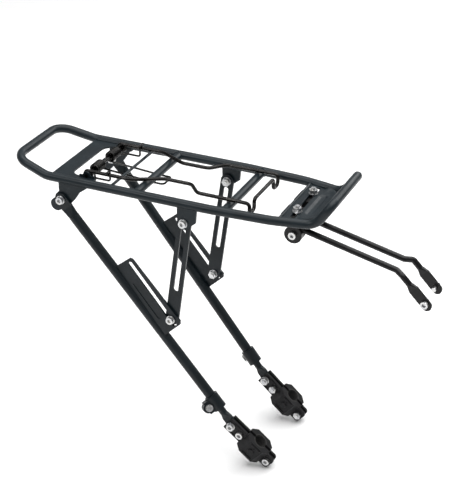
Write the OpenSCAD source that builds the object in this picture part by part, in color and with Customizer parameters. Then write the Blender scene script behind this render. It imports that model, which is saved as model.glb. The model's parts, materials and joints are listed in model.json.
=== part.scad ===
/* [Deck] */
// Distance between the two rail tubes, centre to centre
deck_w = 130; // [122:1:136]
// Outside diameter of the rail tube
rail_d = 12; // [10:0.5:12]
// Outside diameter of the two main crossbars
crossbar_d = 12; // [10:0.5:12]
// Diameter of the thin cross rod
cross_rod_d = 4; // [3:0.5:5]
// Thickness of the rear and front deck plates
plate_t = 2.5; // [2:0.5:3]

/* [Clip] */
// Diameter of the clip's thick wire
clip_wire_d = 5; // [4:0.5:5]
// Diameter of the spring's thin wire
spring_wire_d = 2.8; // [2:0.2:3]

/* [Legs] */
// Angle of the legs below the deck
leg_angle = 51; // [50:0.5:52]
// Angle at which each leg leans in towards the wheel
leg_lean = 1.8; // [0.8:0.2:2.2]
// Outside diameter of the leg tube
leg_d = 14; // [13:0.5:15]
// Diameter of the rod that slides in the leg tube
rod_d = 10; // [8:0.5:10]
// Distance from the leg's pivot to the foot's pivot
leg_reach = 385; // [375:1:400]
// Width of the flat strap links
link_w = 19; // [17:1:20]

/* [Feet] */
// Diameter of the bicycle tube that each foot clamps
stay_tube_d = 18; // [16:1:19]
// Length of a foot's clamp along the bicycle tube
clamp_l = 28; // [24:1:30]

/* [Stays] */
// Diameter of the round stay arms
arm_d = 8; // [7:0.5:8]
// Angle of the stay arms below the deck
arm_angle = 13; // [8:1:14]
// Distance between the two stay arms, centre to centre
arm_gap = 30.6; // [30.6:0.2:34]

/* [Fasteners] */
// Thread diameter of the bolts
bolt_d = 6; // [6:1:6]

/* [Hidden] */
$fn = 48;
eps = 0.01;

// Clearances: a bolt or rod in its bore, and flat faces that slide on each other
fit = 0.1;
face_gap = 0.2;

// A bend reaches this far into the straight bars beside it, and is this much thinner in radius
bend_lap = 0.2;
bend_step = 0.03;

// Deck outline. The origin is on the centre line, on the front crossbar's axis
rail_y = deck_w / 2;
rail_r = rail_d / 2;
rail_wall = 1.5;
rear_bar = [-308, 56, 13.5];
rear_bend_x = -256;
taper_x = -20;
front_taper = [62, rail_y - 4.5, 0];
front_bend = [117.5, rail_y - 15.2, 0];
front_bar = [137.6, rail_y - 15, 29.9];
front_mid = [138.8, 0, 31.7];
mid_x = -124;
cross_rod_x = -163;

// Deck plates
plate_top = 1.3;
rear_plate_x = [-252, -229, -190];
rear_tab_y = 48.8;
front_plate_x = [71, 115.5];
front_corner = 20;
roll_r = 2.1;
roll_z = plate_top - plate_t + roll_r;
front_edge = [[71, 12.5], [95.5, 17.3]];
slot_x = 85;
slot_half = 43;
slot_w = 6.8;

// Side planes, as distances from the centre line
bracket_y = [67, 70];
leg_y = 71.7;
blade_t = 3;
link_t = 3;
link_y = bracket_y[0] - face_gap - link_t;

// Leg pivot, link pivot and the link's lower bolt
pivot = [-231, -27];
link_top = [-53, -25];
slot_s = 213;
slot_n = 29;
lower = [pivot[0] + slot_s * cos(leg_angle) + slot_n * sin(leg_angle),
         pivot[1] - slot_s * sin(leg_angle) + slot_n * cos(leg_angle)];
link_len = norm(lower - link_top);
link_angle = atan2(link_top[1] - lower[1], lower[0] - link_top[0]);

// Adjuster plate, in the leg's frame: along the leg, then out from its axis
adjuster = [[114, 5], [114, 33], [117, 36], [221, 40], [225, 36.5], [228, 5]];
adjuster_slot = [118, 224];

// Leg tube, collar, and foot
blade_l = 14;
blade_r = 9;
neck_s = 28;
tube_end = 355;
rod_start = 200;
collar_s = [334, 356];
collar_r = 9.5;
collar_turn = -45;
ear_n = -12.6;
rod_end_t = 4;
rod_flat = [20, 13];
foot_angle = 40.3;
jaw_bolt = 25.6;
foot_pivot = -42.5;
jaw_gap = rod_end_t / 2 + face_gap;
jaw_t = 3.4;
jaw_half = 10.5;
liner_t = 1.5;
tube_r = stay_tube_d / 2;
hump_h = 14.2;

// Stays
arm_y = arm_gap / 2;
lug_y = [arm_y - arm_d / 2 - 0.3 - 3, arm_y - arm_d / 2 - 0.3];
disc_y = [arm_y + 0.7, arm_y + 7.7];
clamp_c = [78, -35.5];
arm_off = 8.5;
arm_tail = -12;
arm_run = 138;
stay_bolt_y = 27.5;
flange_top = plate_top - plate_t - face_gap;
flange_t = 3;
joggle = [10, 7];
tab_angle = 46;
tab_l = 45;
tab_from = 22;
tab_end = 48.5;
tab_w = 13;
tab_t = 3.6;

// Fasteners
bolt_r = bolt_d / 2;
bore_r = bolt_r + fit / 2;
washer_d = 12;
washer_t = 1.2;
head_d = 10;
head_h = 4;
nut_d = 11.5;
nut_h = 4.8;

// Clip
clip_x = -203;
clip_arm_y = 46;
clip_r = clip_wire_d / 2;
clip_z = crossbar_d / 2 + clip_r + 0.3;
pin_r = 2.2;
eye_r = pin_r + fit / 2 + clip_r;
pin_z = clip_z - eye_r;
spring_r = spring_wire_d / 2;
coil_r = 6;
coil_y = [10, 33];

// ---- Helpers ----

// The right side has negative Y; the left side is its mirror image
module on_side(left) {
    mirror([0, left ? 1 : 0, 0]) children();
}

module both_sides() {
    on_side(false) children();
    on_side(true) children();
}

function unit(v) = v / norm(v);

// Straight round bar between two points
module bar(a, b, r) {
    d = b - a;
    translate(a)
        rotate([0, acos(d[2] / norm(d)), atan2(d[1], d[0])])
            cylinder(h = norm(d), r = r);
}

// Distance from a corner to where its bend starts
function bend_cut(a, b, c, bend) = bend * tan(acos(unit(b - a) * unit(c - b)) / 2);

// Round bend at corner b of the path a, b, c
module bend_at(a, b, c, r, bend) {
    u = unit(b - a);
    v = unit(c - b);
    z = unit(cross(u, v));
    x = cross(u, z);
    m = b - u * bend_cut(a, b, c, bend) - x * bend;
    lap = bend_lap / bend * 180 / PI;
    multmatrix([[x[0], u[0], z[0], m[0]], [x[1], u[1], z[1], m[1]], [x[2], u[2], z[2], m[2]], [0, 0, 0, 1]])
        rotate([0, 0, -lap]) rotate_extrude(angle = acos(u * v) + 2 * lap)
            translate([bend, 0]) circle(r = r - bend_step);
}

// Bent bar through points; bends[i] is the bend radius at point i
module bent_bar(pts, bends, r, closed = false) {
    n = len(pts);
    last = closed ? n - 1 : n - 2;
    for (i = [0 : last]) {
        a = pts[i];
        b = pts[(i + 1) % n];
        before = pts[(i + n - 1) % n];
        after = pts[(i + 2) % n];
        cut_a = (closed || i > 0) ? bend_cut(before, a, b, bends[i]) : 0;
        cut_b = (closed || i < n - 2) ? bend_cut(a, b, after, bends[(i + 1) % n]) : 0;
        bar(a + unit(b - a) * cut_a, b - unit(b - a) * cut_b, r);
        if (closed || i < n - 2) bend_at(a, b, after, r, bends[(i + 1) % n]);
    }
}

// Round boss or hole along Y between y0 and y1, at x, z
module y_cyl(x, z, y0, y1, r) {
    translate([x, y1, z]) rotate([90, 0, 0]) cylinder(h = y1 - y0, r = r);
}

module y_hex(x, z, y0, y1, d) {
    translate([x, y1, z]) rotate([90, 0, 0]) cylinder(h = y1 - y0, d = d, $fn = 6);
}

// Slot along X cut through Y, from x0 to x1
module x_slot(x0, x1, z, y0, y1, w) {
    translate([x0, y0, z - w / 2]) cube([x1 - x0, y1 - y0, w]);
    y_cyl(x0, z, y0, y1, w / 2);
    y_cyl(x1, z, y0, y1, w / 2);
}

// Socket-head bolt along Y: the head is outside y_face, away from the centre line on the right side
module bolt(x, z, y_face, y_tip, washer = true) {
    seat = y_face - (washer ? washer_t : 0);
    difference() {
        union() {
            y_cyl(x, z, seat - head_h, seat, head_d / 2);
            y_cyl(x, z, seat - eps, y_tip, bolt_r);
        }
        y_hex(x, z, seat - head_h - 1, seat - head_h + 2.8, 5.8);
    }
    if (washer) difference() {
        y_cyl(x, z, seat + 0.02, y_face, washer_d / 2);
        y_cyl(x, z, seat - 1, y_face + 1, bore_r + 0.15);
    }
}

// Washer and hex nut on the far end of a bolt, seated on y_face
module nut(x, z, y_face) {
    difference() {
        y_cyl(x, z, y_face, y_face + washer_t, washer_d / 2);
        y_cyl(x, z, y_face - 1, y_face + washer_t + 1, bore_r + 0.15);
    }
    difference() {
        y_hex(x, z, y_face + washer_t + 0.02, y_face + washer_t + nut_h, nut_d);
        y_cyl(x, z, y_face, y_face + washer_t + nut_h + 1, bore_r);
    }
}

module leg_frame() {
    translate([pivot[0], 0, pivot[1]]) rotate([0, leg_angle, 0]) children();
}

// The tube, rod and foot lean in from the flat blade
module lean_frame() {
    leg_frame() translate([blade_l, 0, 0]) rotate([0, 0, leg_lean]) translate([-blade_l, 0, 0]) children();
}

// The collar's ears point backwards and outwards
module collar_frame() {
    lean_frame() rotate([collar_turn, 0, 0]) children();
}

module link_frame() {
    translate([link_top[0], 0, link_top[1]]) rotate([0, link_angle, 0]) children();
}

module foot_frame() {
    lean_frame() translate([leg_reach, 0, 0]) rotate([0, foot_angle - leg_angle, 0])
        translate([-foot_pivot, 0, 0]) children();
}

module arm_frame() {
    translate([clamp_c[0], 0, clamp_c[1]]) rotate([0, arm_angle, 0]) children();
}

// ---- Deck ----

deck_half = [rear_bar, [rear_bend_x, rail_y, 0], [taper_x, rail_y, 0], front_taper, front_bend, front_bar];
deck_bends = [24, 40, 200, 120, 24, 10];

function mirrored(p) = [p[0], -p[1], p[2]];

deck_pts = concat(deck_half, [front_mid], [for (i = [len(deck_half) - 1 : -1 : 0]) mirrored(deck_half[i])]);
deck_radii = concat(deck_bends, [300], [for (i = [len(deck_bends) - 1 : -1 : 0]) deck_bends[i]]);

module deck_tube(r) {
    bent_bar(deck_pts, deck_radii, r, closed = true);
}

module rails(r) {
    for (y = [-rail_y, rail_y]) bar([rear_bend_x, y, 0], [taper_x, y, 0], r);
}

module deck_loop() {
    color([0.09, 0.11, 0.13]) deck_tube(rail_r);
}

module crossbar_at(x, d) {
    difference() {
        bar([x, -rail_y, 0], [x, rail_y, 0], d / 2);
        if (x < taper_x) rails(rail_r);
        else for (side = [-1, 1])
            bar([taper_x, side * rail_y, 0], [front_taper[0], side * front_taper[1], 0], rail_r);
    }
}

module crossbar_mid() {
    color([0.09, 0.11, 0.13]) crossbar_at(mid_x, crossbar_d - 1);
}

module crossbar_front() {
    color([0.09, 0.11, 0.13]) crossbar_at(0, crossbar_d - 1);
}

module cross_rod() {
    color([0.08, 0.09, 0.1]) crossbar_at(cross_rod_x, cross_rod_d);
}

// Plate between the rails, with a wide tab at each side
module rear_plate() {
    corner = 14;
    reach = rear_plate_x[2] - rear_plate_x[1] + corner;
    color([0.08, 0.1, 0.11]) difference() {
        translate([rear_plate_x[0], -rail_y, plate_top - plate_t])
            cube([rear_plate_x[2] - rear_plate_x[0], deck_w, plate_t]);
        translate([rear_plate_x[1] + corner, -rear_tab_y, -5]) cube([reach, 2 * rear_tab_y, 10]);
        translate([rear_plate_x[1], corner - rear_tab_y, -5])
            cube([corner + eps, 2 * (rear_tab_y - corner), 10]);
        for (y = [corner - rear_tab_y, rear_tab_y - corner])
            translate([rear_plate_x[1] + corner, y, -5]) cylinder(h = 10, r = corner);
        rails(rail_r);
    }
}

// Plate ahead of the front crossbar: rolled rear edge, slot for the stay brackets, round front corners
module front_plate() {
    edge = [for (p = front_edge) [p[0], rail_y - p[1]]];
    corner_x = front_plate_x[1] - front_corner;
    corner_y = edge[1][1] - front_corner - 0.4;
    color([0.08, 0.1, 0.11]) difference() {
        union() {
            translate([0, 0, plate_top - plate_t]) linear_extrude(height = plate_t)
                polygon([edge[0], edge[1], [edge[1][0], -edge[1][1]], [edge[0][0], -edge[0][1]]]);
            translate([corner_x - eps, -corner_y, plate_top - plate_t])
                cube([front_corner + eps, 2 * corner_y, plate_t]);
            for (y = [-corner_y, corner_y])
                translate([corner_x, y, plate_top - plate_t]) cylinder(h = plate_t, r = front_corner);
            bar([front_plate_x[0], -edge[0][1], roll_z], [front_plate_x[0], edge[0][1], roll_z], roll_r);
        }
        translate([slot_x - slot_w / 2, -slot_half, -5]) cube([slot_w, 2 * slot_half, 10]);
        for (y = [-slot_half, slot_half]) translate([slot_x, y, -5]) cylinder(h = 10, d = slot_w);
    }
}

// Flat bracket welded under a rail; outline points are x, z
module bracket(outline, boss, boss_r) {
    difference() {
        union() {
            translate([0, -bracket_y[0], 0]) rotate([90, 0, 0])
                linear_extrude(height = bracket_y[1] - bracket_y[0]) polygon(outline);
            y_cyl(boss[0], boss[1], -bracket_y[1], -bracket_y[0], boss_r);
            children();
        }
        rails(rail_r);
        translate([outline[0][0] - 20, -bracket_y[1] - 1, -1]) cube([100, 10, 20]);
        y_cyl(boss[0], boss[1], -bracket_y[1] - 1, -bracket_y[0] + 1, bore_r);
    }
}

module rear_bracket(left) {
    outline = [[-235, 0], [-193, 0], [-193, -5], [-204, -13], [-212, -25], [-222, -36],
               [-231, -27], [-241, -24], [-235, -16]];
    color([0.08, 0.1, 0.11]) on_side(left)
        bracket(outline, pivot, 10.5) y_cyl(-240, -37, -bracket_y[1], -bracket_y[0], 9);
}

module front_bracket(left) {
    outline = [[-62, 0], [-34, 0], [-36, -22], [-46, -30], [-61.5, -28]];
    color([0.08, 0.1, 0.11]) on_side(left) bracket(outline, link_top, 9);
}

module leg_pivot_bolts() {
    color("silver") both_sides()
        bolt(pivot[0], pivot[1], -bracket_y[1] - 2 * face_gap - blade_t, -bracket_y[0] + 8);
}

module leg_pivot_nuts() {
    color("silver") both_sides() nut(pivot[0], pivot[1], -bracket_y[0]);
}

module link_top_bolts() {
    color("silver") both_sides() bolt(link_top[0], link_top[1], -bracket_y[1], 8 - link_y);
}

module link_top_nuts() {
    color("silver") both_sides() nut(link_top[0], link_top[1], -link_y + face_gap);
}

// ---- Clip ----

module clip_lugs() {
    lug = [clip_arm_y + clip_r + 0.5, clip_arm_y + clip_r + 3];
    color([0.08, 0.1, 0.11]) both_sides() difference() {
        union() {
            translate([clip_x - 11, -lug[1], plate_top]) cube([22, lug[1] - lug[0], pin_z - plate_top]);
            y_cyl(clip_x, pin_z, -lug[1], -lug[0], 5.5);
        }
        translate([clip_x - 20, -lug[1] - 1, plate_top - 20]) cube([40, 10, 20]);
        y_cyl(clip_x, pin_z, -lug[1] - 1, -lug[0] + 1, pin_r);
    }
}

module clip_pivot_rod() {
    end = clip_arm_y + clip_r + 4.5;
    color([0.15, 0.15, 0.17]) y_cyl(clip_x, pin_z, -end, end, pin_r);
}

// Thick wire: an eye on the pivot rod, an arm along each side, a dip at each front corner
clip_half = [[clip_x, -clip_arm_y, clip_z], [-140, -clip_arm_y, clip_z],
             [-101, -26, clip_z], [-62, -26, clip_z],
             [-45, -clip_arm_y + 1, clip_z], [28, -clip_arm_y, clip_z],
             [28, -clip_arm_y, -5.5], [28, -31, -5.5], [28, -31, clip_z]];
clip_bends = [0, 20, 20, 12, 12, 5, 5, 5, 5];
clip_pts = concat(clip_half, [for (i = [len(clip_half) - 1 : -1 : 0]) mirrored(clip_half[i])]);
clip_radii = concat(clip_bends, [for (i = [len(clip_bends) - 1 : -1 : 0]) clip_bends[i]]);

module clip_bail() {
    color([0.1, 0.1, 0.11]) {
        bent_bar(clip_pts, clip_radii, clip_r);
        for (y = [-clip_arm_y, clip_arm_y])
            translate([clip_x, y, pin_z]) rotate([90, 0, 0]) rotate([0, 0, 88])
                rotate_extrude(angle = 300) translate([eye_r, 0]) circle(r = clip_r - bend_step);
    }
}

// Double torsion spring: two coils, a middle loop under the mid crossbar, a hook over each clip arm
hook_x = -173;
loop_y = coil_y[0] + spring_r + 0.3;
loop_z = -crossbar_d / 2 - spring_r - 0.2;

module clip_spring() {
    hook_y = clip_arm_y - clip_r - spring_r - 0.4;
    hook_top = clip_z + clip_r + spring_r + 0.4;
    color([0.12, 0.12, 0.13]) {
        for (y = [coil_y[0], -coil_y[1]]) difference() {
            y_cyl(clip_x, pin_z, y, y + coil_y[1] - coil_y[0], coil_r + spring_r + 0.2);
            y_cyl(clip_x, pin_z, y - 1, y + coil_y[1] - coil_y[0] + 1, coil_r - spring_r - 0.2);
        }
        bent_bar([[clip_x, -loop_y, pin_z - coil_r], [mid_x, -loop_y, loop_z], [mid_x + 14, -loop_y, loop_z],
                  [mid_x + 14, loop_y, loop_z], [mid_x, loop_y, loop_z], [clip_x, loop_y, pin_z - coil_r]],
                 [0, 8, 5, 5, 8, 0], spring_r);
        for (side = [-1, 1])
            bent_bar([[clip_x, side * (coil_y[1] - spring_r - 0.3), pin_z - coil_r],
                      [clip_x + 8, side * hook_y, pin_z - coil_r],
                      [hook_x, side * hook_y, pin_z - coil_r], [hook_x, side * hook_y, hook_top],
                      [hook_x, side * (hook_y + 10), hook_top]],
                     [0, 4, 3.2, 3, 0], spring_r);
    }
}

// ---- Legs ----

// Tube with a flattened upper end that turns on the rear bracket
module leg_tube(left) {
    half = blade_t / 2;
    color([0.07, 0.08, 0.1]) on_side(left) translate([0, -leg_y, 0]) difference() {
        union() {
            leg_frame() {
                translate([0, -half, -blade_r]) cube([blade_l, blade_t, 2 * blade_r]);
                y_cyl(0, 0, -half, half, blade_r);
            }
            hull() {
                leg_frame() translate([blade_l - 0.6, 0.1 - half, 0.1 - blade_r])
                    cube([0.1, blade_t - 0.2, 2 * blade_r - 0.2]);
                lean_frame() translate([neck_s, 0, 0]) rotate([0, 90, 0])
                    cylinder(h = 0.1, r = leg_d / 2 - 0.4, $fn = 32);
            }
            lean_frame() translate([neck_s - 0.5, 0, 0]) rotate([0, 90, 0])
                cylinder(h = tube_end - neck_s + 0.5, r = leg_d / 2);
        }
        leg_frame() y_cyl(0, 0, -10, 10, bore_r);
        lean_frame() translate([neck_s + 6, 0, 0]) rotate([0, 90, 0])
            cylinder(h = tube_end, r = (rod_d + fit) / 2);
        collar_frame() translate([tube_end - 26, -1, -20]) cube([30, 2, 20]);
    }
}

module adjuster_plate(left) {
    mid = (bracket_y[0] + bracket_y[1]) / 2;
    half = (bracket_y[1] - bracket_y[0]) / 2;
    color([0.07, 0.08, 0.1]) on_side(left) difference() {
        translate([0, -mid, 0]) leg_frame() difference() {
            translate([0, half, 0]) rotate([90, 0, 0]) linear_extrude(height = 2 * half) polygon(adjuster);
            x_slot(adjuster_slot[0] + slot_w / 2, adjuster_slot[1] - slot_w / 2, slot_n, -10, 10, slot_w);
            x_slot(148, 202, 15, -half - 1, -half + 0.8, 6);
        }
        translate([0, -leg_y, 0]) lean_frame() rotate([0, 90, 0]) cylinder(h = tube_end, r = leg_d / 2);
    }
}

// Split collar at the tube's end, with two ears behind it
module leg_collar(left) {
    length = collar_s[1] - collar_s[0];
    color([0.07, 0.08, 0.1]) on_side(left) translate([0, -leg_y, 0]) collar_frame() difference() {
        union() {
            translate([collar_s[0], 0, 0]) rotate([0, 90, 0]) cylinder(h = length, r = collar_r);
            translate([collar_s[0] + 2, -6, ear_n - 3]) cube([length - 4, 12, 10]);
            y_cyl((collar_s[0] + collar_s[1]) / 2, ear_n - 1, -6, 6, 7);
        }
        translate([collar_s[0] - 1, 0, 0]) rotate([0, 90, 0]) cylinder(h = length + 2, r = leg_d / 2);
        translate([collar_s[0] - 1, -1.2, -30]) cube([length + 2, 2.4, 30]);
        y_cyl((collar_s[0] + collar_s[1]) / 2, ear_n, -20, 20, bore_r);
    }
}

module collar_bolt(left) {
    s = (collar_s[0] + collar_s[1]) / 2;
    color("silver") on_side(left) translate([0, -leg_y, 0]) collar_frame() {
        bolt(s, ear_n, -6, 11, washer = false);
        difference() {
            y_hex(s, ear_n, 6, 6 + nut_h, nut_d);
            y_cyl(s, ear_n, 5, 12, bore_r);
        }
    }
}

module link(left) {
    color([0.07, 0.08, 0.1]) on_side(left) translate([0, -link_y - link_t, 0]) link_frame() difference() {
        x_slot(0, link_len, 0, 0, link_t, link_w);
        y_cyl(0, 0, -1, link_t + 1, bore_r);
        y_cyl(link_len, 0, -1, link_t + 1, bore_r);
        x_slot(13, 104, 0, -1, link_t + 1, slot_w);
    }
}

module slot_bolt(left) {
    color("silver") on_side(left)
        bolt(lower[0], lower[1], -bracket_y[1] - face_gap, 8 - link_y);
}

module slot_nut(left) {
    color("silver") on_side(left) nut(lower[0], lower[1], -link_y);
}

// Rod that slides in the leg tube, flattened at its foot end
module leg_rod(left) {
    half = rod_end_t / 2;
    end = leg_reach;
    color([0.07, 0.08, 0.1]) on_side(left) translate([0, -leg_y, 0]) lean_frame() difference() {
        union() {
            translate([rod_start, 0, 0]) rotate([0, 90, 0])
                cylinder(h = end - rod_start - rod_flat[0] + 0.5, r = rod_d / 2);
            hull() {
                translate([end - rod_flat[0], 0, 0]) rotate([0, 90, 0])
                    cylinder(h = 0.1, r = rod_d / 2 - 0.1, $fn = 32);
                translate([end - rod_flat[1], -half, -7]) cube([0.1, rod_end_t, 14]);
            }
            translate([end - rod_flat[1], -half, -7]) cube([rod_flat[1], rod_end_t, 14]);
            y_cyl(end, 0, -half, half, 7);
        }
        y_cyl(end, 0, -5, 5, bore_r);
    }
}

// ---- Feet ----

// One jaw on the outer side: a base bar with the bolt holes, and a hump over the bicycle tube
module jaw_shape() {
    base_top = jaw_gap + jaw_t;
    base_from = foot_pivot - 6;
    base_to = 33;
    difference() {
        union() {
            translate([base_from, -base_top, -jaw_half]) cube([base_to - base_from - 5, jaw_t, 2 * jaw_half]);
            translate([base_to - 5.01, -base_top, 5 - jaw_half]) cube([5, jaw_t, 2 * jaw_half - 10]);
            for (z = [5 - jaw_half, jaw_half - 5]) y_cyl(base_to - 5, z, -base_top, -jaw_gap, 5);
            translate([0, 0, -clamp_l / 2]) linear_extrude(height = clamp_l)
                polygon([[-19, -jaw_gap], [-19, -base_top - 1], [-11, -hump_h], [11, -hump_h],
                         [19, -base_top - 1], [19, -jaw_gap]]);
        }
        translate([0, 0, -40]) cylinder(h = 80, r = tube_r + liner_t);
        for (x = [foot_pivot, -jaw_bolt, jaw_bolt]) y_cyl(x, 0, -30, 30, bore_r);
    }
}

module foot_jaw_outer(left) {
    color([0.06, 0.06, 0.07]) on_side(left) translate([0, -leg_y, 0]) foot_frame() jaw_shape();
}

module foot_jaw_inner(left) {
    color([0.06, 0.06, 0.07]) on_side(left) translate([0, -leg_y, 0]) foot_frame()
        mirror([0, 1, 0]) jaw_shape();
}

// Two half-round rubber liners between the jaws and the bicycle tube
module foot_liner(left) {
    color([0.03, 0.03, 0.03]) on_side(left) translate([0, -leg_y, 0]) foot_frame() difference() {
        translate([0, 0, -clamp_l / 2]) cylinder(h = clamp_l, r = tube_r + liner_t);
        translate([0, 0, -clamp_l]) cylinder(h = 2 * clamp_l, r = tube_r);
        translate([-20, -jaw_gap, -clamp_l]) cube([40, 2 * jaw_gap, 2 * clamp_l]);
    }
}

// Two jaw bolts and the foot's pivot bolt
module foot_bolts(left) {
    face = -jaw_gap - jaw_t;
    color("silver") on_side(left) translate([0, -leg_y, 0]) foot_frame() {
        for (x = [-jaw_bolt, jaw_bolt]) bolt(x, 0, face, -face + 7, washer = false);
        bolt(foot_pivot, 0, face, -face + 8);
    }
}

module foot_nuts(left) {
    face = jaw_gap + jaw_t;
    color("silver") on_side(left) translate([0, -leg_y, 0]) foot_frame() {
        for (x = [-jaw_bolt, jaw_bolt]) difference() {
            y_hex(x, 0, face, face + nut_h, 11);
            y_cyl(x, 0, face - 1, face + nut_h + 1, bore_r);
        }
        nut(foot_pivot, 0, face);
    }
}

// ---- Stays ----

// L-bracket: a flange under the front plate and a lug that hangs beside the arm
module stay_bracket(left) {
    color([0.07, 0.08, 0.1]) on_side(left) difference() {
        union() {
            translate([clamp_c[0] - 12, -stay_bolt_y - 8, flange_top - flange_t])
                cube([26, stay_bolt_y + 8 - lug_y[0], flange_t]);
            translate([clamp_c[0] - 12, -lug_y[1], clamp_c[1]])
                cube([24, lug_y[1] - lug_y[0], flange_top - clamp_c[1]]);
            y_cyl(clamp_c[0], clamp_c[1], -lug_y[1], -lug_y[0], 12);
        }
        y_cyl(clamp_c[0], clamp_c[1], -lug_y[1] - 1, -lug_y[0] + 1, bore_r);
        translate([slot_x, -stay_bolt_y, -20]) cylinder(h = 30, r = bore_r);
    }
}

// Upright bolt through the flange and the plate's slot, with its washer and nut on top
module stay_bracket_bolt(left) {
    washer_z = plate_top + face_gap;
    color("silver") on_side(left) translate([slot_x, -stay_bolt_y, 0]) {
        translate([0, 0, flange_top - flange_t - 3.5]) cylinder(h = 3.5, d = head_d);
        translate([0, 0, flange_top - flange_t - eps])
            cylinder(h = washer_z + washer_t + nut_h + 2.5 - flange_top + flange_t, r = bolt_r);
        difference() {
            translate([0, 0, washer_z]) cylinder(h = washer_t, d = washer_d);
            cylinder(h = 20, r = bore_r + 0.15);
        }
        difference() {
            translate([0, 0, washer_z + washer_t + 0.02]) cylinder(h = nut_h, d = nut_d, $fn = 6);
            cylinder(h = 20, r = bore_r);
        }
    }
}

// Round clamp disc with a groove that holds the arm against the lug
module stay_disc(left) {
    color([0.07, 0.08, 0.1]) on_side(left) arm_frame() difference() {
        y_cyl(0, 0, -disc_y[1], -disc_y[0], 12);
        y_cyl(0, 0, -disc_y[1] - 1, -disc_y[0] + 1, bore_r);
        translate([-20, -arm_y, arm_off]) rotate([0, 90, 0]) cylinder(h = 40, r = (arm_d + fit) / 2);
    }
}

module stay_disc_bolt(left) {
    color("silver") on_side(left) arm_frame() {
        bolt(0, 0, -disc_y[1], -lug_y[0] + face_gap + 3.6, washer = false);
        difference() {
            y_hex(0, 0, -lug_y[0] + face_gap, -lug_y[0] + face_gap + 3.2, nut_d);
            y_cyl(0, 0, -lug_y[0] - 1, 0, bore_r);
        }
    }
}

// Round arm, stepped outwards and flattened into a tab at its front end
module stay_arm(left) {
    b = [arm_run + joggle[0], -arm_y - joggle[1], arm_off];
    turn = tab_angle - arm_angle;
    neck = b + (tab_from - 8) * [cos(turn), 0, -sin(turn)];
    color([0.05, 0.05, 0.06]) on_side(left) arm_frame() difference() {
        union() {
            bent_bar([[arm_tail, -arm_y, arm_off], [arm_run, -arm_y, arm_off], b, neck],
                     [0, 6, 6, 0], arm_d / 2);
            translate(b) rotate([0, turn, 0]) {
                hull() {
                    translate([tab_from - 8.5, 0, 0]) rotate([0, 90, 0])
                        cylinder(h = 0.1, r = arm_d / 2 - 0.1, $fn = 32);
                    translate([tab_from, -tab_t / 2, -tab_w / 2]) cube([0.1, tab_t, tab_w]);
                }
                translate([tab_from, -tab_t / 2, -tab_w / 2]) cube([tab_end - tab_from, tab_t, tab_w]);
                y_cyl(tab_end, 0, -tab_t / 2, tab_t / 2, tab_w / 2);
            }
        }
        translate(b) rotate([0, turn, 0]) y_cyl(tab_l, 0, -10, 10, bore_r);
    }
}

// Bolt that fastens the tab to the bicycle; its free end points to the centre line
module stay_end_bolt(left) {
    b = [arm_run + joggle[0], -arm_y - joggle[1], arm_off];
    turn = tab_angle - arm_angle;
    color("silver") on_side(left) arm_frame() translate(b) rotate([0, turn, 0])
        bolt(tab_l, 0, -tab_t / 2, tab_t / 2 + 7, washer = false);
}

deck_loop();
rear_plate();
cross_rod();
crossbar_mid();
crossbar_front();
front_plate();
rear_bracket(false);  // rear_bracket_right
rear_bracket(true);  // rear_bracket_left
front_bracket(false);  // front_bracket_right
front_bracket(true);  // front_bracket_left
clip_lugs();
clip_pivot_rod();
leg_pivot_bolts();
leg_pivot_nuts();
link_top_bolts();
link_top_nuts();
clip_bail();
clip_spring();
leg_tube(false);  // leg_tube_right
leg_tube(true);  // leg_tube_left
adjuster_plate(false);  // adjuster_plate_right
adjuster_plate(true);  // adjuster_plate_left
leg_collar(false);  // leg_collar_right
leg_collar(true);  // leg_collar_left
collar_bolt(false);  // collar_bolt_right
collar_bolt(true);  // collar_bolt_left
link(false);  // link_right
link(true);  // link_left
slot_bolt(false);  // slot_bolt_right
slot_bolt(true);  // slot_bolt_left
slot_nut(false);  // slot_nut_right
slot_nut(true);  // slot_nut_left
leg_rod(false);  // leg_rod_right
leg_rod(true);  // leg_rod_left
foot_jaw_outer(false);  // foot_jaw_outer_right
foot_jaw_outer(true);  // foot_jaw_outer_left
foot_jaw_inner(false);  // foot_jaw_inner_right
foot_jaw_inner(true);  // foot_jaw_inner_left
foot_liner(false);  // foot_liner_right
foot_liner(true);  // foot_liner_left
foot_bolts(false);  // foot_bolts_right
foot_bolts(true);  // foot_bolts_left
foot_nuts(false);  // foot_nuts_right
foot_nuts(true);  // foot_nuts_left
stay_bracket(false);  // stay_bracket_right
stay_bracket(true);  // stay_bracket_left
stay_bracket_bolt(false);  // stay_bracket_bolt_right
stay_bracket_bolt(true);  // stay_bracket_bolt_left
stay_disc(false);  // stay_disc_right
stay_disc(true);  // stay_disc_left
stay_disc_bolt(false);  // stay_disc_bolt_right
stay_disc_bolt(true);  // stay_disc_bolt_left
stay_arm(false);  // stay_arm_right
stay_arm(true);  // stay_arm_left
stay_end_bolt(false);  // stay_end_bolt_right
stay_end_bolt(true);  // stay_end_bolt_left
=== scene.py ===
import json
import math
import random

import bmesh
import bpy
from mathutils import Matrix, Vector


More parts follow.
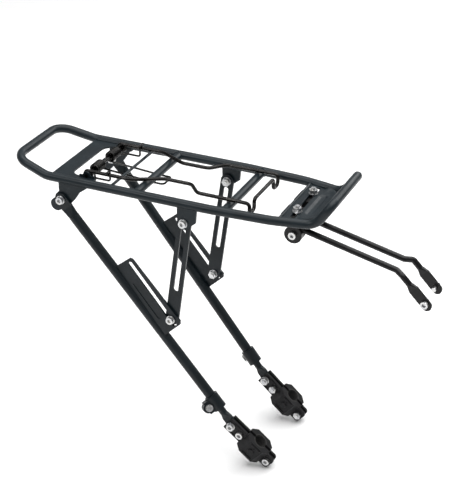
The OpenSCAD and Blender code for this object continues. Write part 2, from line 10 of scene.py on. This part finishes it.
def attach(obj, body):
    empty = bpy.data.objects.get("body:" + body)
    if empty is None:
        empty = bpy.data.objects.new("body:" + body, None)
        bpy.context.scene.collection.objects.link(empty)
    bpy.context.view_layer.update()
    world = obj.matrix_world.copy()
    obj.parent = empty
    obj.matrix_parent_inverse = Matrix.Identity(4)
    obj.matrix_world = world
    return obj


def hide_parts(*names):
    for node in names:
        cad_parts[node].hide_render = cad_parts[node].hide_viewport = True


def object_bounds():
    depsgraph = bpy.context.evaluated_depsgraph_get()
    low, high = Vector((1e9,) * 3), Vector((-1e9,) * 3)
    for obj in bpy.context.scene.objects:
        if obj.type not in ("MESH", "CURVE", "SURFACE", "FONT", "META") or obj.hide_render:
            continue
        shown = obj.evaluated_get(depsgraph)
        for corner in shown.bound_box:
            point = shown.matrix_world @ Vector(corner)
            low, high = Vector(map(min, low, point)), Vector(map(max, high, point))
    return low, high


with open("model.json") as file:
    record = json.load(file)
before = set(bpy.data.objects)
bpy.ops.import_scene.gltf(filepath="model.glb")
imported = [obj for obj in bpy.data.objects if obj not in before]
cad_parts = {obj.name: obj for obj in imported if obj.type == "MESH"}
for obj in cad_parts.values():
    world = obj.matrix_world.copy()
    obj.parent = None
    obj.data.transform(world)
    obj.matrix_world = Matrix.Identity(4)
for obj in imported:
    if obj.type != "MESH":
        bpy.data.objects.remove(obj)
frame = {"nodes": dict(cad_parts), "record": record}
cad_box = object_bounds()
random.seed(7)

# Sizes are in millimetres, as in the CAD, and are turned into metres where a mesh is made
MM = 0.001

# Deck: rail tube, crossbars and plates
RAIL_R, RAIL_Y = 6.0, 65.0
MID_X, FRONT_X, FRONT_RAIL_Y, CROSSBAR_R = -124.0, 0.0, 63.9, 5.5
PLATE_TOP, PLATE_T = 1.3, 2.5
BRACKET_OUT, BRACKET_IN = 70.0, 66.9

# ---- Camera, light and floor ----

# The camera's place in metres, where it looks, and which way is right in its picture
CAMERA_AT = Vector((0.6126, -1.3873, 0.7585))
CAMERA_DIR = Vector((-0.3654, 0.7934, -0.4869))
CAMERA_RIGHT = Vector((0.9089, 0.4170, -0.0026))
CAMERA_LENS, CAMERA_SENSOR = 94.8, 36
FLOOR_GAP = 0.002
FLOOR_CORNERS = ((-6, -5), (6, -5), (6, 7), (-6, 7))


def make_camera():
    back = -CAMERA_DIR.normalized()
    right = (CAMERA_RIGHT - back * CAMERA_RIGHT.dot(back)).normalized()
    up = back.cross(right)
    data = bpy.data.cameras.new("camera")
    data.lens = CAMERA_LENS
    data.sensor_width = CAMERA_SENSOR
    data.clip_start = 0.05
    obj = bpy.data.objects.new("camera", data)
    turn = Matrix((right, up, back)).transposed().to_4x4()
    obj.matrix_world = Matrix.Translation(CAMERA_AT) @ turn
    bpy.context.scene.collection.objects.link(obj)
    bpy.context.scene.camera = obj


def area_light(name, at, target, size, power):
    data = bpy.data.lights.new(name, "AREA")
    data.shape = "RECTANGLE"
    data.size, data.size_y = size
    data.energy = power
    obj = bpy.data.objects.new(name, data)
    aim = Vector(target) - Vector(at)
    obj.matrix_world = Matrix.Translation(at) @ aim.to_track_quat("-Z", "Y").to_matrix().to_4x4()
    bpy.context.scene.collection.objects.link(obj)


def make_stage():
    world = bpy.data.worlds.new("studio")
    bpy.context.scene.world = world
    world.use_nodes = True
    world.node_tree.nodes["Background"].inputs["Color"].default_value = (1, 1, 1, 1)
    world.node_tree.nodes["Background"].inputs["Strength"].default_value = 0.35
    bpy.context.scene.view_settings.view_transform = "Standard"
    area_light("overhead", (0.2, 0.3, 2.2), (0, 0.1, -0.2), (3.6, 3.0), 105)
    area_light("key", (-0.9, -1.3, 1.3), (0, 0, -0.1), (0.5, 0.5), 9)
    area_light("back", (0.5, 1.7, 0.9), (0, 0, 0), (1.4, 0.5), 10)
    low = cad_box[0][2] - FLOOR_GAP
    bm = bmesh.new()
    bm.faces.new([bm.verts.new((x, y, low)) for x, y in FLOOR_CORNERS])
    floor = mesh_object("floor", bm)
    floor.data.materials.append(floor_material())


# ---- Materials ----

class Nodes:
    """Short calls that add and join shader nodes."""

    def __init__(self, name):
        self.material = bpy.data.materials.new(name)
        self.material.use_nodes = True
        self.tree = self.material.node_tree
        self.shader = self.tree.nodes["Principled BSDF"]
        self.coords = self.tree.nodes.new("ShaderNodeTexCoord").outputs["Object"]

    def link(self, a, b):
        self.tree.links.new(a, b)

    def noise(self, scale, detail=4.0, rough=0.55):
        n = self.tree.nodes.new("ShaderNodeTexNoise")
        n.inputs["Scale"].default_value = scale
        n.inputs["Detail"].default_value = detail
        n.inputs["Roughness"].default_value = rough
        self.link(self.coords, n.inputs["Vector"])
        return n.outputs["Fac"]

    def cells(self, scale):
        n = self.tree.nodes.new("ShaderNodeTexVoronoi")
        n.inputs["Scale"].default_value = scale
        self.link(self.coords, n.inputs["Vector"])
        return n.outputs["Distance"]

    def ramp(self, fac, stops):
        n = self.tree.nodes.new("ShaderNodeValToRGB")
        elements = n.color_ramp.elements
        for element, (at, colour) in zip((elements[0], elements[1]), (stops[0], stops[-1])):
            element.position = at
            element.color = (*colour, 1)
        for at, colour in stops[1:-1]:
            elements.new(at).color = (*colour, 1)
        self.link(fac, n.inputs["Fac"])
        return n.outputs["Color"]

    def span(self, fac, low, high, start=0.3, end=0.7):
        n = self.tree.nodes.new("ShaderNodeMapRange")
        n.inputs["From Min"].default_value = start
        n.inputs["From Max"].default_value = end
        n.inputs["To Min"].default_value = low
        n.inputs["To Max"].default_value = high
        self.link(fac, n.inputs["Value"])
        return n.outputs["Result"]

    def mix(self, fac, a, b):
        n = self.tree.nodes.new("ShaderNodeMix")
        n.data_type = "RGBA"
        self.link(fac, n.inputs["Factor"])
        self.link(a, n.inputs["A"])
        self.link(b, n.inputs["B"])
        return n.outputs["Result"]

    def bump(self, height, depth_mm, base=None):
        n = self.tree.nodes.new("ShaderNodeBump")
        n.inputs["Distance"].default_value = depth_mm * MM
        n.inputs["Strength"].default_value = 1.0
        self.link(height, n.inputs["Height"])
        if base is not None:
            self.link(base, n.inputs["Normal"])
        return n.outputs["Normal"]

    def finish(self, colour, rough, normal, **fixed):
        self.link(colour, self.shader.inputs["Base Color"])
        self.link(rough, self.shader.inputs["Roughness"])
        self.link(normal, self.shader.inputs["Normal"])
        for key, value in fixed.items():
            self.shader.inputs[key.replace("_", " ")].default_value = value
        return self.material


def paint_material(name, dark, light, worn, rough=(0.3, 0.46), wear=0.71, peel=0.05):
    """Satin powder coat: cloudy colour, fine orange peel, and small worn specks."""
    n = Nodes(name)
    base = n.ramp(n.noise(28, 5), [(0.35, dark), (0.65, light)])
    specks = n.ramp(n.noise(420, 3, 0.7), [(wear, (0, 0, 0)), (wear + 0.03, (1, 1, 1))])
    metal = n.ramp(n.noise(900), [(0.3, worn), (0.7, tuple(c * 1.5 for c in worn))])
    colour = n.mix(specks, base, metal)
    peel_normal = n.bump(n.cells(1300), peel)
    normal = n.bump(n.noise(2600, 2), 0.015, base=peel_normal)
    return n.finish(colour, n.span(n.noise(60), *rough), normal, Specular_IOR_Level=0.24, Coat_Weight=0.06,
                    Coat_Roughness=0.2)


def wire_material():
    """Black chrome plating on drawn wire."""
    n = Nodes("black_chrome_wire")
    colour = n.ramp(n.noise(70, 5), [(0.3, (0.012, 0.012, 0.012)), (0.7, (0.036, 0.035, 0.034))])
    return n.finish(colour, n.span(n.noise(240), 0.16, 0.34), n.bump(n.noise(900, 3), 0.03), Metallic=1.0)


def zinc_material():
    """Bright zinc plate with a slightly cloudy passivated film."""
    n = Nodes("zinc_plate")
    film = n.ramp(n.noise(160, 4), [(0.3, (0.50, 0.51, 0.53)), (0.55, (0.66, 0.66, 0.66)),
                                    (0.8, (0.60, 0.58, 0.53))])
    stains = n.ramp(n.noise(520, 3, 0.7), [(0.62, (1, 1, 1)), (0.74, (0.45, 0.44, 0.43))])
    m = n.tree.nodes.new("ShaderNodeMix")
    m.data_type, m.blend_type = "RGBA", "MULTIPLY"
    m.inputs["Factor"].default_value = 1.0
    n.link(film, m.inputs["A"])
    n.link(stains, m.inputs["B"])
    return n.finish(m.outputs["Result"], n.span(n.noise(380), 0.22, 0.42), n.bump(n.noise(1500, 3), 0.02),
                    Metallic=1.0)


def cast_material():
    """Black coated die casting with a fine sandy grain."""
    n = Nodes("black_casting")
    colour = n.ramp(n.noise(120, 5), [(0.3, (0.003, 0.003, 0.0035)), (0.7, (0.009, 0.009, 0.010))])
    grain = n.bump(n.noise(2200, 3), 0.06)
    normal = n.bump(n.cells(900), 0.05, base=grain)
    return n.finish(colour, n.span(n.noise(300), 0.36, 0.52), normal, Specular_IOR_Level=0.2)


def rubber_material():
    """Matt black rubber with a fine pebble."""
    n = Nodes("liner_rubber")
    colour = n.ramp(n.noise(300, 4), [(0.3, (0.008, 0.008, 0.008)), (0.7, (0.022, 0.021, 0.020))])
    return n.finish(colour, n.span(n.noise(500), 0.7, 0.9), n.bump(n.cells(1600), 0.08))


def floor_material():
    """Pale matt paper."""
    n = Nodes("pale_floor")
    colour = n.ramp(n.noise(3), [(0.3, (0.90, 0.90, 0.90)), (0.7, (0.93, 0.93, 0.93))])
    return n.finish(colour, n.span(n.noise(20), 0.75, 0.85), n.bump(n.noise(300), 0.05))


# ---- Mesh helpers ----

def mesh_object(name, bm, smooth=False):
    mesh = bpy.data.meshes.new(name)
    bm.normal_update()
    bm.to_mesh(mesh)
    bm.free()
    if smooth:
        for p in mesh.polygons:
            p.use_smooth = True
    obj = bpy.data.objects.new(name, mesh)
    bpy.context.scene.collection.objects.link(obj)
    return obj


def rounded_path(points, radii, step=7.0):
    """Points in millimetres with each corner turned into an arc; step is degrees between arc points."""
    pts = [Vector(p) for p in points]
    out = [pts[0]]
    for i in range(1, len(pts) - 1):
        a, b, c = pts[i - 1], pts[i], pts[i + 1]
        u, v = (b - a).normalized(), (c - b).normalized()
        turn = u.angle(v)
        if turn < 0.01 or not radii[i]:
            out.append(b)
            continue
        cut = radii[i] * math.tan(turn / 2)
        side = (v - u * u.dot(v)).normalized()
        middle = b - u * cut + side * radii[i]
        count = max(3, int(math.degrees(turn) / step))
        for k in range(count + 1):
            t = turn * k / count
            out.append(middle - side * radii[i] * math.cos(t) + u * radii[i] * math.sin(t))
    out.append(pts[-1])
    return out


def sweep(bm, path, radius, sides=14, closed=False, wobble=0.0):
    """Sweeps a round section along a path in millimetres; an open end gets a low cone."""
    pts = [Vector(p) for p in path]
    n = len(pts)
    tangents = []
    for i in range(n):
        a = pts[(i - 1) % n] if closed or i else pts[i]
        b = pts[(i + 1) % n] if closed or i < n - 1 else pts[i]
        tangents.append((b - a).normalized())
    side = tangents[0].orthogonal().normalized()
    rings = []
    for i in range(n):
        if i:
            side = (side - tangents[i] * side.dot(tangents[i])).normalized()
        other = tangents[i].cross(side)
        r = radius * (1 + wobble * random.uniform(-1, 1))
        rings.append([bm.verts.new((pts[i] + (side * math.cos(t) + other * math.sin(t)) * r) * MM)
                      for t in (2 * math.pi * k / sides for k in range(sides))])
    pairs = list(zip(rings, rings[1:])) + ([(rings[-1], rings[0])] if closed else [])
    for a, b in pairs:
        for k in range(sides):
            bm.faces.new((a[k], a[(k + 1) % sides], b[(k + 1) % sides], b[k]))
    if closed:
        return
    for ring, at, outward in ((rings[0][::-1], pts[0], -tangents[0]), (rings[-1], pts[-1], tangents[-1])):
        tip = bm.verts.new((at + outward * radius * 0.35) * MM)
        for k in range(sides):
            bm.faces.new((ring[k], ring[(k + 1) % sides], tip))


def add_piece(obj, material, body):
    """Gives a new piece its material and the body it rides on."""
    obj.data.materials.append(material)
    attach(obj, body)


def bevel(obj, width_mm, segments=2, angle=32):
    m = obj.modifiers.new("edges", "BEVEL")
    m.width = width_mm * MM
    m.segments = segments
    m.limit_method = "ANGLE"
    m.angle_limit = math.radians(angle)


# ---- Materials on the CAD nodes ----

make_camera()

PAINT = paint_material("frame_paint", (0.004, 0.008, 0.011), (0.008, 0.014, 0.018), (0.06, 0.07, 0.08))
LEG_PAINT = paint_material("leg_paint", (0.003, 0.006, 0.008), (0.006, 0.010, 0.013), (0.05, 0.06, 0.07))
ARM_PAINT = paint_material("arm_paint", (0.002, 0.002, 0.002), (0.004, 0.004, 0.005), (0.04, 0.04, 0.04),
                           rough=(0.24, 0.36))
WIRE = wire_material()
ZINC = zinc_material()
CAST = cast_material()
RUBBER = rubber_material()

SLOT_MATERIALS = {"frame": PAINT, "wire": WIRE, "leg_paint": LEG_PAINT, "foot_metal": CAST, "liner": RUBBER,
                  "zinc": ZINC}
EDGE_WIDTH = {"frame": 0.35, "leg_paint": 0.4, "foot_metal": 0.7, "zinc": 0.3}
ROUND_NODES = ("deck_loop", "crossbar_mid", "crossbar_front", "cross_rod")
STAY_NODES = ("stay_arm", "stay_disc_", "stay_bracket_")


def node_material(name, slot):
    if slot == "leg_paint" and name.startswith(STAY_NODES):
        return ARM_PAINT
    return SLOT_MATERIALS[slot]


def finish_nodes():
    """Puts the materials on the CAD nodes and breaks their edges."""
    slots = {s["node"]: s["material_slot"] for s in frame["record"]["subparts"]}
    for name, obj in frame["nodes"].items():
        slot = slots[name]
        material = node_material(name, slot)
        for i in range(len(obj.data.materials)):
            obj.data.materials[i] = material
        if not obj.data.materials:
            obj.data.materials.append(material)
        if slot in EDGE_WIDTH and name not in ROUND_NODES:
            bevel(obj, EDGE_WIDTH[slot])


finish_nodes()


# ---- Clip spring: wound wire in place of the plain sleeves ----

PIN_X, PIN_Z, COIL_R, SPRING_R = -203.0, 4.05, 6.0, 1.4
COIL_INNER, COIL_OUTER, COIL_TURNS = 11.7, 31.3, 7
LOOP_X, LOOP_Z = -110.0, -7.6
HOOK_X, HOOK_Y, HOOK_TOP, HOOK_L = -173.0, 41.7, 13.1, 10.0


def coil_points(y_from, y_to, turns, per_turn=24):
    """Helix around the pivot rod that starts and ends at the bottom."""
    count = int(turns * per_turn)
    out = []
    for i in range(count + 1):
        t = 2 * math.pi * turns * i / count
        y = y_from + (y_to - y_from) * i / count
        out.append((PIN_X - COIL_R * math.sin(t), y, PIN_Z - COIL_R * math.cos(t)))
    return out


def spring_piece(name, paths, body):
    bm = bmesh.new()
    for path in paths:
        sweep(bm, path, SPRING_R)
    piece = mesh_object(name, bm, smooth=True)
    add_piece(piece, WIRE, body)
    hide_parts("clip_spring")


def clip_spring():
    """The coils and loop stay on the deck; each hook moves with the clip, with the last turn beside it."""
    bottom = PIN_Z - COIL_R
    pitch = (COIL_OUTER - COIL_INNER) / COIL_TURNS
    loop = rounded_path([(PIN_X, -COIL_INNER, bottom), (MID_X, -COIL_INNER, LOOP_Z),
                         (LOOP_X, -COIL_INNER, LOOP_Z), (LOOP_X, COIL_INNER, LOOP_Z),
                         (MID_X, COIL_INNER, LOOP_Z), (PIN_X, COIL_INNER, bottom)], [0, 8, 5, 5, 8, 0])
    right = coil_points(pitch - COIL_OUTER, -COIL_INNER, COIL_TURNS - 1)
    left = coil_points(COIL_INNER, COIL_OUTER - pitch, COIL_TURNS - 1)
    spring_piece("spring_coils", [right + loop[1:-1] + left], "deck")
    hooks = []
    for side in (-1, 1):
        turn = coil_points(side * (COIL_OUTER - pitch), side * COIL_OUTER, 1)
        hook = rounded_path([(PIN_X, side * COIL_OUTER, bottom), (PIN_X + 8, side * HOOK_Y, bottom),
                             (HOOK_X, side * HOOK_Y, bottom), (HOOK_X, side * HOOK_Y, HOOK_TOP),
                             (HOOK_X, side * (HOOK_Y + HOOK_L), HOOK_TOP)], [0, 4, 3.2, 3, 0])
        hooks.append(turn + hook[1:])
    spring_piece("spring_hooks", hooks, "clip")


clip_spring()


# ---- Front plate: pressed sheet with a rolled edge, a dished oval and an upturned rim ----

PLATE_BACK, PLATE_SIDE, PLATE_FRONT, PLATE_CORNER = 71.0, 95.5, 115.5, 20.0
PLATE_EDGE_BACK, PLATE_EDGE_SIDE = 52.5, 47.6
CORNER_Y = PLATE_EDGE_SIDE - PLATE_CORNER
ROLL_R = 2.1
SLOT_X, SLOT_HALF, SLOT_R = 85.0, 43.0, 3.4
DISH_X, DISH_HALF, DISH_R, DISH_DEPTH = 100.0, 24.0, 6.0, 1.8
RIM_W, RIM_H, RIM_FROM = 9.0, 2.6, 92.0
PLATE_ROWS, CORNER_ROWS, PLATE_COLUMNS = 31, 24, 120
SNAP = 0.45


def smooth(t):
    """Eases from 0 to 1."""
    t = min(1.0, max(0.0, t))
    return t * t * (3 - 2 * t)


def capsule(x, y, centre_x, half, radius):
    """Distance outside a rounded slot that runs along Y."""
    return math.hypot(x - centre_x, max(abs(y) - half, 0.0)) - radius


def plate_half_width(x):
    """Half the plate's width at x: tapered sides, then round front corners."""
    if x <= PLATE_SIDE:
        taper = (x - PLATE_BACK) / (PLATE_SIDE - PLATE_BACK)
        return PLATE_EDGE_BACK + (PLATE_EDGE_SIDE - PLATE_EDGE_BACK) * taper
    return CORNER_Y + math.sqrt(max(PLATE_CORNER ** 2 - (x - PLATE_SIDE) ** 2, 0.0))


def plate_height(x, y):
    """Height of the pressed sheet's top: the rim rises towards the edge, and the oval sinks."""
    edge = min(plate_half_width(x) - abs(y), PLATE_FRONT - x)
    if x > PLATE_SIDE and abs(y) > CORNER_Y:
        edge = PLATE_CORNER - math.hypot(x - PLATE_SIDE, abs(y) - CORNER_Y)
    rim = RIM_H * smooth(1 - edge / RIM_W) * smooth((x - RIM_FROM) / 8)
    dish = DISH_DEPTH * smooth(-capsule(x, y, DISH_X, DISH_HALF, DISH_R) / 3)
    return PLATE_TOP + rim - dish


def plate_point(x, y):
    """A point of the sheet; one that lies close to the slot's edge moves onto it."""
    gap = capsule(x, y, SLOT_X, SLOT_HALF, SLOT_R)
    if abs(gap) < SNAP:
        out = Vector((x - SLOT_X, y - max(-SLOT_HALF, min(SLOT_HALF, y)))).normalized()
        x, y = x - out.x * gap, y - out.y * gap
    return Vector((x, y, plate_height(x, y))) * MM


def pressed_sheet():
    bm = bmesh.new()
    rows = [PLATE_BACK + (PLATE_SIDE - PLATE_BACK) * i / PLATE_ROWS for i in range(PLATE_ROWS)]
    rows += [PLATE_SIDE + PLATE_CORNER * math.sin(math.pi / 2 * k / CORNER_ROWS)
             for k in range(CORNER_ROWS + 1)]
    grid = []
    for x in rows:
        half = plate_half_width(x)
        grid.append([bm.verts.new(plate_point(x, half * (2 * k / PLATE_COLUMNS - 1)))
                     for k in range(PLATE_COLUMNS + 1)])
    for a, b in zip(grid, grid[1:]):
        for k in range(PLATE_COLUMNS):
            corners = (a[k], b[k], b[k + 1], a[k + 1])
            middle = sum((v.co for v in corners), Vector()) / 4 / MM
            if capsule(middle.x, middle.y, SLOT_X, SLOT_HALF, SLOT_R) > 0:
                bm.faces.new(corners)
    bmesh.ops.delete(bm, geom=[v for v in bm.verts if not v.link_faces], context="VERTS")
    obj = mesh_object("front_plate_pressed", bm, smooth=True)
    thick = obj.modifiers.new("sheet", "SOLIDIFY")
    thick.thickness = PLATE_T * MM
    thick.offset = -1
    bevel(obj, 0.3, angle=50)
    return obj


def rolled_edge():
    bm = bmesh.new()
    y = plate_half_width(PLATE_BACK)
    roll = PLATE_TOP - PLATE_T + ROLL_R
    sweep(bm, [(PLATE_BACK, y * (k / 20 - 1), roll) for k in range(41)], ROLL_R, 16)
    return mesh_object("front_plate_rolled_edge", bm, smooth=True)


def front_plate():
    for piece in (pressed_sheet(), rolled_edge()):
        add_piece(piece, PAINT, "deck")
        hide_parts("front_plate")


front_plate()


# ---- Ribs and bosses cast on the foot jaws ----

def foot_axes():
    """Origin and axes of the right foot, from its clamp mount and its hinge."""
    record = frame["record"]
    mount = next(m for m in record["mounts"] if m["name"] == "foot_clamp_right")
    hinge = next(j for j in record["behaviour"]["joints"] if j["name"] == "foot_hinge_right")
    z = Vector(mount["axis"]).normalized()
    y = Vector(hinge["axis"]).normalized()
    return Vector(mount["pos_m"]), y.cross(z), y, z


def drafted_block(bm, centre, size, draft=0.75):
    """Block whose outer face, towards -Y, is drawn in; centre and size are in the foot's own axes."""
    cx, cy, cz = centre
    sx, sy, sz = (v / 2 for v in size)
    corners = ((-1, -1), (1, -1), (1, 1), (-1, 1))
    a = [bm.verts.new((cx + i * sx, cy + sy, cz + k * sz)) for i, k in corners]
    b = [bm.verts.new((cx + i * sx * draft, cy - sy, cz + k * sz * draft)) for i, k in corners]
    bm.faces.new(b)
    bm.faces.new(a[::-1])
    for k in range(4):
        bm.faces.new((a[k], a[(k + 1) % 4], b[(k + 1) % 4], b[k]))


def round_boss(bm, centre, radius, height, sides=20):
    """Low round boss with a chamfered top, towards -Y."""
    cx, cy, cz = centre
    rings = []
    for dy, r in ((height / 2, radius), (0.1 - height / 2, radius * 0.9), (-height / 2, radius * 0.72)):
        rings.append([bm.verts.new((cx + r * math.cos(t), cy + dy, cz + r * math.sin(t)))
                      for t in (2 * math.pi * k / sides for k in range(sides))])
    for a, b in zip(rings, rings[1:]):
        for k in range(sides):
            bm.faces.new((a[k], a[(k + 1) % sides], b[(k + 1) % sides], b[k]))
    bm.faces.new(rings[-1])
    bm.faces.new(rings[0][::-1])


# How far the jaw's base and hump stand out from the foot's middle plane, and where the ribs run
JAW_FACE, HUMP = 5.6, 14.2
HUMP_RIB_Z, BASE_RIB_X, BASE_RIB_Z = 10.6, -34.0, 8.6


def jaw_ribs(jaw, flip, side, mirror):
    origin, ax, ay, az = foot_axes()
    bm = bmesh.new()
    for z in (-HUMP_RIB_Z, HUMP_RIB_Z):
        drafted_block(bm, (0, -HUMP, z), (20, 2.4, 3.2))
    drafted_block(bm, (0, -HUMP, 0), (3.2, 2.0, 20))
    round_boss(bm, (0, -HUMP - 0.2, 0), 5.2, 2.6)
    for z in (BASE_RIB_Z, -BASE_RIB_Z):
        drafted_block(bm, (BASE_RIB_X, -JAW_FACE, z), (15, 2.2, 2.2))
    for v in bm.verts:
        world = origin + (ax * v.co.x + ay * v.co.y * flip + az * v.co.z) * MM
        v.co = Vector((world.x, world.y * mirror, world.z))
    bmesh.ops.recalc_face_normals(bm, faces=bm.faces)
    obj = mesh_object("jaw_ribs_%s_%s" % (jaw, side), bm)
    bevel(obj, 0.35, angle=25)
    add_piece(obj, CAST, "foot_" + side)


for side_name, mirror_y in (("right", 1), ("left", -1)):
    for jaw_name, jaw_flip in (("outer", 1), ("inner", -1)):
        jaw_ribs(jaw_name, jaw_flip, side_name, mirror_y)


# ---- Weld beads where the bars and plates meet the rails ----

BEAD_SIDES, RING_POINTS, BEAD_STEP, BEAD_SHAKE = 8, 40, 1.3, 0.12


def weld_ring(bm, centre, axis, radius, bead=1.1):
    """A bead that follows the line where a bar meets the rail's round side."""
    c, along = Vector(centre), Vector(axis)
    up = Vector((0, 0, 1))
    flat = along.cross(up).normalized()
    path = []
    for k in range(RING_POINTS):
        t = 2 * math.pi * k / RING_POINTS
        z = radius * math.sin(t)
        reach = math.sqrt(RAIL_R ** 2 - z ** 2)
        path.append(c + flat * radius * math.cos(t) + up * z - along * (reach + 0.1))
    sweep(bm, path, bead, BEAD_SIDES, closed=True, wobble=0.12)


def bead_line(bm, a, b, radius=1.2):
    """A straight bead with a slightly uneven height and width."""
    a, b = Vector(a), Vector(b)
    count = max(4, int((b - a).length / BEAD_STEP))
    path = [a.lerp(b, k / count) + Vector((0, 0, random.uniform(-BEAD_SHAKE, BEAD_SHAKE)))
            for k in range(count + 1)]
    sweep(bm, path, radius, BEAD_SIDES, wobble=0.15)


def weld_beads():
    bm = bmesh.new()
    for side in (-1, 1):
        for x, y in ((MID_X, RAIL_Y), (FRONT_X, FRONT_RAIL_Y)):
            weld_ring(bm, (x, side * y, 0), (0, side, 0), CROSSBAR_R)
        bead_line(bm, (-250, side * 59.2, 1.6), (-192, side * 59.2, 1.6))
        bead_line(bm, (74, side * 52.2, 1.7), (95, side * 48.2, 2.3), 1.0)
        for x0, x1 in ((-234, -195), (-60, -36)):
            bead_line(bm, (x0, side * BRACKET_OUT, -3.6), (x1, side * BRACKET_OUT, -3.6), 1.1)
            bead_line(bm, (x0, side * BRACKET_IN, -6.2), (x1, side * BRACKET_IN, -6.2), 1.0)
    add_piece(mesh_object("weld_beads", bm, smooth=True), PAINT, "deck")


weld_beads()

make_stage()
